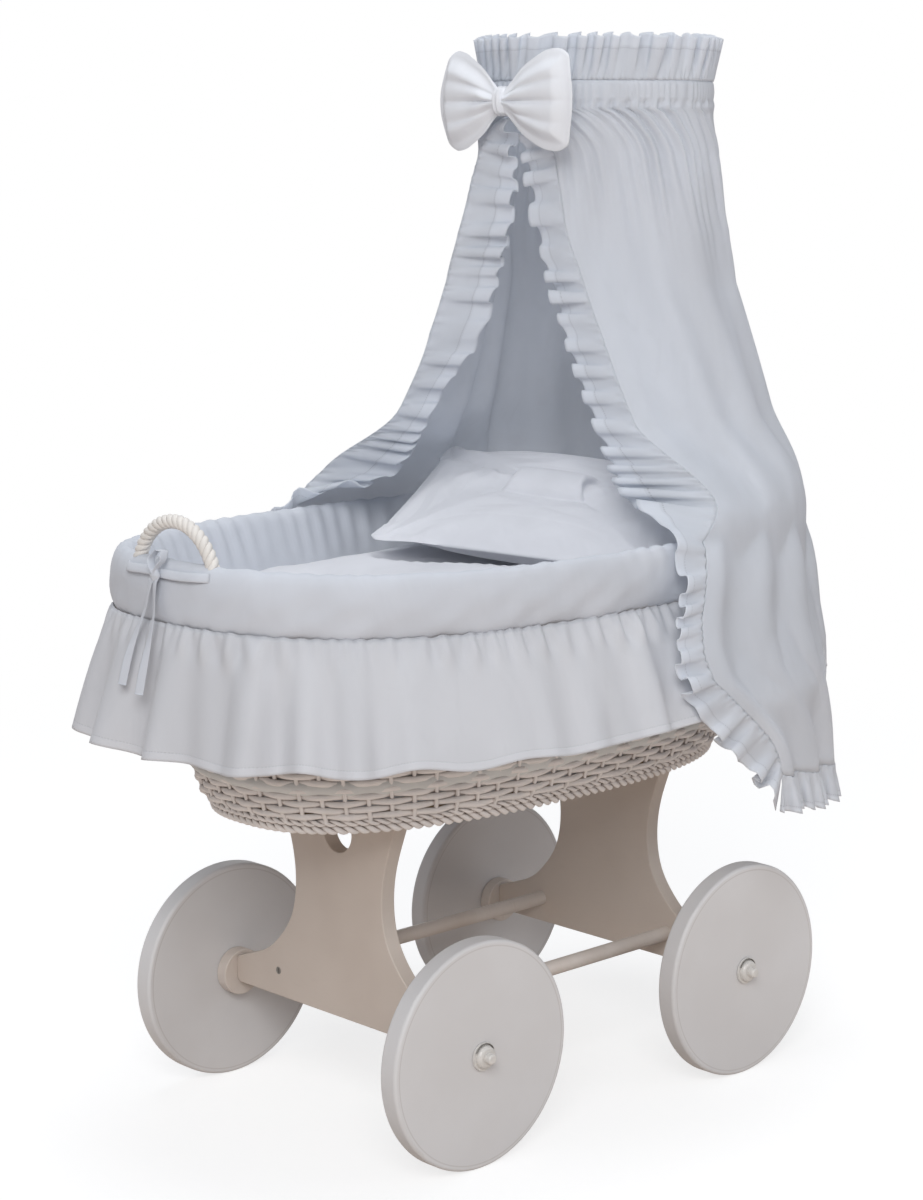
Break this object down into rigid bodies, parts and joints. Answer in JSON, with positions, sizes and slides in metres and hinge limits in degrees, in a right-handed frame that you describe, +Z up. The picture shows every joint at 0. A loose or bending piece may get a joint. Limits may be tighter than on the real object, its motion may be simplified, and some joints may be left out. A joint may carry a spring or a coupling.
{
  "type": "wheeled wicker bassinet",
  "caption": "Oval wicker bassinet on a wooden carriage with disc wheels, a gathered fabric skirt and a draped canopy that slides on a rod.",
  "frame": {"origin": "on the floor below the middle of the whole part, which is the middle of the basket", "axes": "+X towards the canopy end, +Y across the bassinet away from the camera side, +Z up"},
  "size_m": [1.0114, 0.6811, 1.243],
  "materials": {
    "board_paint": "smooth white paint on board",
    "rod_paint": "satin white paint on turned wood",
    "wheel_paint": "smooth white paint on a flat disc",
    "hub_plastic": "moulded white plastic",
    "axle_cap": "white enamel on steel",
    "clip_steel": "drawn spring wire",
    "screw_steel": "zinc plated",
    "wicker": "white painted willow weave",
    "wicker_rope": "white painted twisted willow",
    "plywood": "plain plywood",
    "liner_cotton": "plain woven cotton over thin padding",
    "skirt_cotton": "gathered woven cotton",
    "binding_tape": "folded cotton tape",
    "tie_ribbon": "narrow cotton ribbon",
    "mattress_cover": "quilted cotton cover",
    "bed_cotton": "smooth cotton, softly filled",
    "canopy_cotton": "light woven cotton, falling in folds",
    "frill_cotton": "gathered cotton frill",
    "bow_cotton": "quilted cotton",
    "pole_paint": "white powder coat"
  },
  "bodies": {
    "carriage": {"end_board_foot": "board_paint", "end_board_head": "board_paint", "rod_near": "rod_paint", "rod_far": "rod_paint", "rod_screw_foot_near": "screw_steel", "spacer_foot_near": "rod_paint", "axle_bolt_foot_near": "axle_cap", "hub_cap_foot_near": "hub_plastic", "hub_clip_foot_near": "clip_steel", "basket_screw_foot_near": "screw_steel", "rod_screw_foot_far": "screw_steel", "spacer_foot_far": "rod_paint", "axle_bolt_foot_far": "axle_cap", "hub_cap_foot_far": "hub_plastic", "hub_clip_foot_far": "clip_steel", "basket_screw_foot_far": "screw_steel", "rod_screw_head_near": "screw_steel", "spacer_head_near": "rod_paint", "axle_bolt_head_near": "axle_cap", "hub_cap_head_near": "hub_plastic", "hub_clip_head_near": "clip_steel", "basket_screw_head_near": "screw_steel", "rod_screw_head_far": "screw_steel", "spacer_head_far": "rod_paint", "axle_bolt_head_far": "axle_cap", "hub_cap_head_far": "hub_plastic", "hub_clip_head_far": "clip_steel", "basket_screw_head_far": "screw_steel", "basket": "wicker", "handle_foot": "wicker_rope", "handle_head": "wicker_rope", "base_board": "plywood", "pole_bracket": "board_paint", "pole_knob": "hub_plastic", "liner": "liner_cotton", "skirt": "skirt_cotton", "slot_binding_foot": "binding_tape", "slot_binding_head": "binding_tape", "tie_foot": "tie_ribbon", "mattress": "mattress_cover", "duvet": "bed_cotton", "pillow": "bed_cotton"},
    "wheel_foot_near": {"wheel_foot_near": "wheel_paint"},
    "wheel_foot_far": {"wheel_foot_far": "wheel_paint"},
    "wheel_head_near": {"wheel_head_near": "wheel_paint"},
    "wheel_head_far": {"wheel_head_far": "wheel_paint"},
    "canopy": {"canopy_pole": "pole_paint", "canopy_hoop": "pole_paint", "hoop_clamp": "hub_plastic", "canopy": "canopy_cotton", "frill_near": "frill_cotton", "frill_far": "frill_cotton", "frill_hem": "frill_cotton", "frill_header": "frill_cotton", "bow_near": "bow_cotton", "bow_far": "bow_cotton", "bow_knot": "bow_cotton"}
  },
  "joints": [
    {"name": "spin_foot_near", "type": "hinge", "parent": "carriage", "child": "wheel_foot_near", "pos_m": [-0.204, -0.217, 0.13], "axis": [0, 1, 0], "continuous": true},
    {"name": "spin_foot_far", "type": "hinge", "parent": "carriage", "child": "wheel_foot_far", "pos_m": [-0.204, 0.217, 0.13], "axis": [0, 1, 0], "continuous": true},
    {"name": "spin_head_near", "type": "hinge", "parent": "carriage", "child": "wheel_head_near", "pos_m": [0.238, -0.217, 0.13], "axis": [0, 1, 0], "continuous": true},
    {"name": "spin_head_far", "type": "hinge", "parent": "carriage", "child": "wheel_head_far", "pos_m": [0.238, 0.217, 0.13], "axis": [0, 1, 0], "continuous": true},
    {"name": "canopy_lift", "type": "slide", "parent": "carriage", "child": "canopy", "axis": [0, 0, 1], "range_m": [0, 0.05]}
  ]
}
